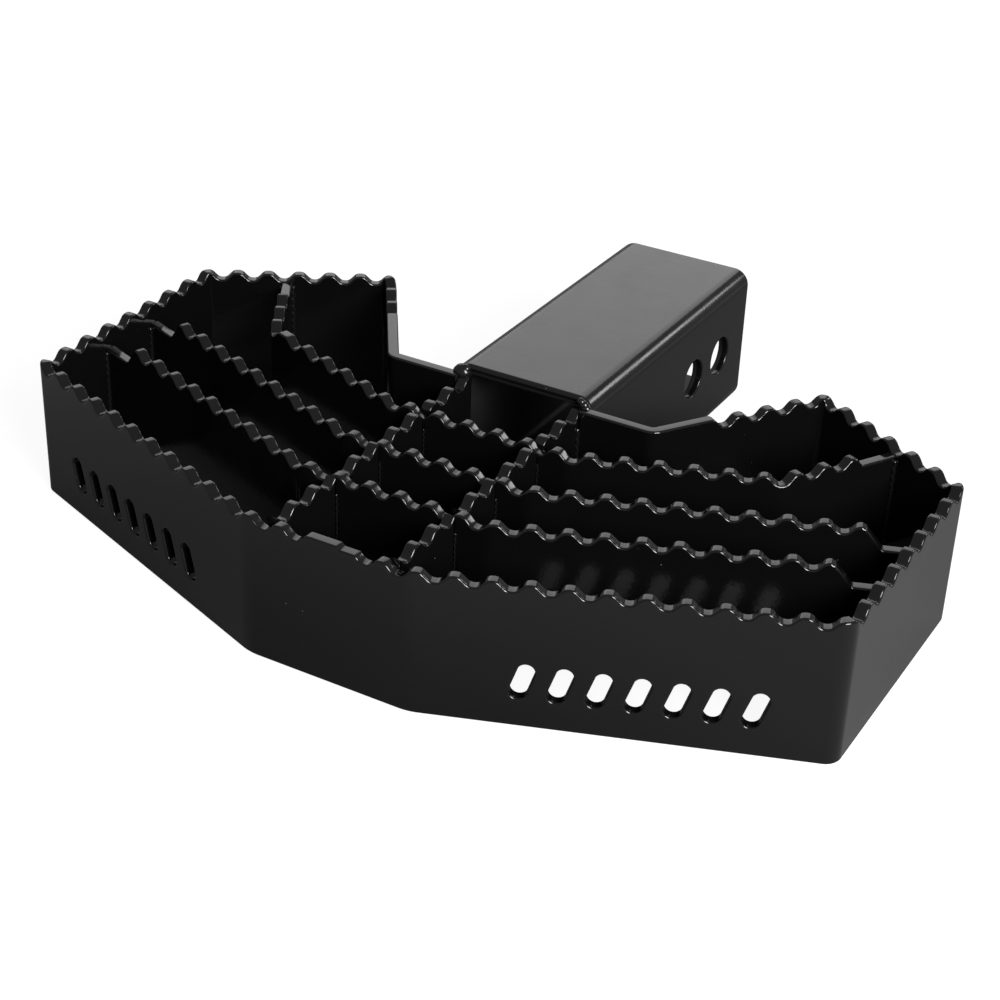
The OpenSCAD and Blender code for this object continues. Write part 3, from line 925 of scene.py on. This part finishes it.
# The painted shade is the floor's own colour, darker towards the middle of the oval.
painted_shade_tone = spread(tree, away.outputs["Value"], *PAINTED_SHADE_EDGE, *PAINTED_SHADE_TONES, interpolation="SMOOTHSTEP")
tree.links.new(painted_shade_tone, matt.inputs["Color"])
surface = tree.nodes.new("ShaderNodeOutputMaterial")
tree.links.new(studio_white(tree, matt.outputs[0], 0.92, 0.02), surface.inputs["Surface"])

# %% The floor
FLOOR_REACH = 8.0
FLOOR_GAP = 0.0002
floor_bm = bmesh.new()
bmesh.ops.create_grid(floor_bm, x_segments=1, y_segments=1, size=FLOOR_REACH)
bmesh.ops.translate(floor_bm, verts=floor_bm.verts[:], vec=(0, 0, -SHANK / 2000 - FLOOR_GAP))
floor_mesh = bpy.data.meshes.new("studio_floor")
floor_bm.to_mesh(floor_mesh)
floor_bm.free()
floor_mesh.materials.append(floor_paint)
floor = bpy.data.objects.new("studio_floor", floor_mesh)
bpy.context.scene.collection.objects.link(floor)
print("floor laid")

# %% The world
world = bpy.data.worlds.new("studio_world")
world.use_nodes = True
tree = world.node_tree
tree.nodes.clear()
sky = tree.nodes.new("ShaderNodeBackground")
sky.inputs["Color"].default_value = (1.0, 1.0, 1.0, 1.0)
sky.inputs["Strength"].default_value = 0.12
out = tree.nodes.new("ShaderNodeOutputWorld")
tree.links.new(studio_white(tree, sky.outputs[0], 0.9, 0.14), out.inputs["Surface"])
bpy.context.scene.world = world

# %% [markdown]
# Three soft panels light the step. One hangs behind it to the left, where the top of the shank
# mirrors it. One stands low in front to the right and draws the bright lines on the near rims. A small
# one behind to the right draws a streak along the rounded corner of the shank.


# %% The panels
def panel(name, place, aim, size, watts):
    """A soft square light that faces the point it is aimed at."""
    lamp = bpy.data.lights.new(name, "AREA")
    lamp.shape = "RECTANGLE"
    lamp.size, lamp.size_y = size
    lamp.energy = watts
    made = bpy.data.objects.new(name, lamp)
    made.location = place
    made.rotation_euler = (Vector(aim) - Vector(place)).to_track_quat("-Z", "Y").to_euler()
    bpy.context.scene.collection.objects.link(made)


CENTRE = (0.0, -0.12, 0.0)
panel("panel_back_left", (-0.95, 1.65, 1.25), CENTRE, (2.2, 1.5), 14)
panel("panel_front_right", (1.35, -0.95, 0.85), CENTRE, (0.8, 0.8), 45)
panel("panel_back_right", (0.9, 1.36, 0.78), CENTRE, (0.5, 0.3), 3)
print("panels hung")

# %% [markdown]
# ## The camera
# The camera was found by fitting about two hundred measured points of the photograph to the part's own
# sizes. It stands in front to the right and looks down on the tread, and it is rolled by two degrees.

# %% The camera at the photograph's place
AZIMUTH = math.radians(28.870)
ELEVATION = math.radians(30.174)
ROLL = math.radians(2.235)
FOCAL = 2058.1
IMAGE_WIDTH = 1000
SENSOR = 36.0
CAMERA_PLACE = (0.34794, -0.77091, 0.40271)
forward = Vector(
    (-math.sin(AZIMUTH) * math.cos(ELEVATION), math.cos(AZIMUTH) * math.cos(ELEVATION), -math.sin(ELEVATION))
)
level_right = Vector((math.cos(AZIMUTH), math.sin(AZIMUTH), 0))
level_up = level_right.cross(forward)
right = math.cos(ROLL) * level_right + math.sin(ROLL) * level_up
up = math.cos(ROLL) * level_up - math.sin(ROLL) * level_right
camera_data = bpy.data.cameras.new("photo_camera")
camera_data.sensor_width = SENSOR
camera_data.lens = FOCAL / IMAGE_WIDTH * SENSOR
camera_data.clip_start = 0.05
camera = bpy.data.objects.new("photo_camera", camera_data)
turn = Matrix((right, up, -forward)).transposed().to_4x4()
camera.matrix_world = Matrix.Translation(CAMERA_PLACE) @ turn
bpy.context.scene.collection.objects.link(camera)
bpy.context.scene.camera = camera
bpy.context.scene.view_settings.view_transform = "Standard"
print("lens", round(camera_data.lens, 2), "mm")
